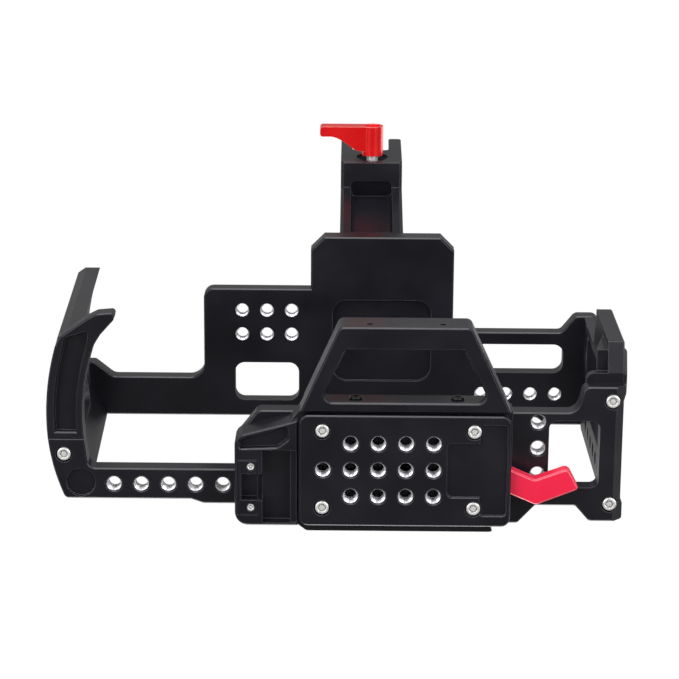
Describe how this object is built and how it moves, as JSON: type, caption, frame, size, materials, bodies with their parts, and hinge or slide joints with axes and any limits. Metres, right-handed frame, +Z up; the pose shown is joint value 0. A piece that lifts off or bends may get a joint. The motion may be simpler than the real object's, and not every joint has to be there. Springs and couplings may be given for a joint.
{
  "type": "camera cage",
  "caption": "Black machined camera cage with a quick-release base, side arms, a top plate and a clamp-on top handle with a red lever.",
  "frame": {"origin": "The middle 1/4 inch tripod hole of the mount plate, at its mouth in the plate's lower face, which is the face the cage stands on.", "axes": "+Z is up in use. -Y is the lens side, +Y the screen side. -X is the camera's grip side, +X its socket side."},
  "size_m": [0.2159, 0.1492, 0.218],
  "materials": {
    "black_anodised": "black anodised, finely blasted",
    "red_anodised": "red anodised, satin",
    "screw_steel": "bright stainless steel",
    "black_rubber": "matt"
  },
  "bodies": {
    "cage": {"mount_plate": "black_anodised", "mount_plate_screws": "screw_steel", "quick_release_block": "black_anodised", "block_screws": "screw_steel", "slide_stop": "black_anodised", "slide_stop_screws": "screw_steel", "lever_pivot": "screw_steel", "lever_washer": "screw_steel", "bottom_frame": "black_anodised", "locating_pins": "screw_steel", "camera_pads": "black_rubber", "vent_guard": "black_anodised", "vent_guard_screws": "screw_steel", "left_arm": "black_anodised", "left_arm_screw": "screw_steel", "left_arm_dowel": "screw_steel", "right_arm": "black_anodised", "right_arm_screws": "screw_steel", "top_plate": "black_anodised", "top_plate_screws": "screw_steel", "top_rail": "black_anodised", "top_rail_screws": "screw_steel"},
    "lock_lever": {"lock_lever": "red_anodised"},
    "lock_slide": {"lock_slide": "screw_steel"},
    "camera_screw": {"camera_screw": "screw_steel", "camera_screw_clip": "screw_steel"},
    "handle": {"handle_frame": "black_anodised", "grip_pad": "black_rubber"},
    "rail_jaw": {"rail_jaw": "black_anodised"},
    "clamp_knob": {"clamp_knob": "black_anodised", "clamp_knob_screw": "screw_steel"},
    "clamp_screw": {"clamp_lever_screw": "screw_steel"},
    "clamp_lever": {"clamp_lever": "red_anodised"},
    "clamp_plate": {"clamp_plate": "black_anodised"}
  },
  "joints": [
    {"name": "lock_lever_turn", "type": "hinge", "parent": "cage", "child": "lock_lever", "pos_m": [0.028, 0.0009, 0.0065], "axis": [0, 0, 1], "range_deg": [0, 45]},
    {"name": "lock_slide_move", "type": "slide", "parent": "cage", "child": "lock_slide", "axis": [1, 0, 0], "range_m": [0, 0.00383]},
    {"name": "camera_screw_turn", "type": "hinge", "parent": "cage", "child": "camera_screw", "pos_m": [0, 0, 0.015], "axis": [0, 0, 1], "continuous": true},
    {"name": "handle_slide", "type": "slide", "parent": "cage", "child": "handle", "axis": [0, 1, 0], "range_m": [0, 0.025]},
    {"name": "rail_jaw_move", "type": "slide", "parent": "handle", "child": "rail_jaw", "axis": [1, 0, 0], "range_m": [0, 0.0018]},
    {"name": "clamp_knob_turn", "type": "hinge", "parent": "rail_jaw", "child": "clamp_knob", "pos_m": [0.009, -0.0325, 0.1362], "axis": [1, 0, 0], "range_deg": [0, 720]},
    {"name": "clamp_screw_move", "type": "slide", "parent": "handle", "child": "clamp_screw", "axis": [0, 1, 0], "range_m": [0, 0.0008]},
    {"name": "clamp_lever_turn", "type": "hinge", "parent": "clamp_screw", "child": "clamp_lever", "pos_m": [-0.0119, -0.085, 0.1885], "axis": [0, 1, 0], "range_deg": [0, 360]},
    {"name": "clamp_plate_move", "type": "slide", "parent": "handle", "child": "clamp_plate", "axis": [0, 1, 0], "range_m": [0, 0.0004]}
  ],
  "couplings": [
    {"joint": "lock_slide_move", "follows": "lock_lever_turn", "m_per_rad": 0.004872},
    {"joint": "rail_jaw_move", "follows": "clamp_knob_turn", "m_per_rad": 0.0001114},
    {"joint": "clamp_screw_move", "follows": "clamp_lever_turn", "m_per_rad": 0.00012732},
    {"joint": "clamp_plate_move", "follows": "clamp_lever_turn", "m_per_rad": 0.00006366}
  ]
}
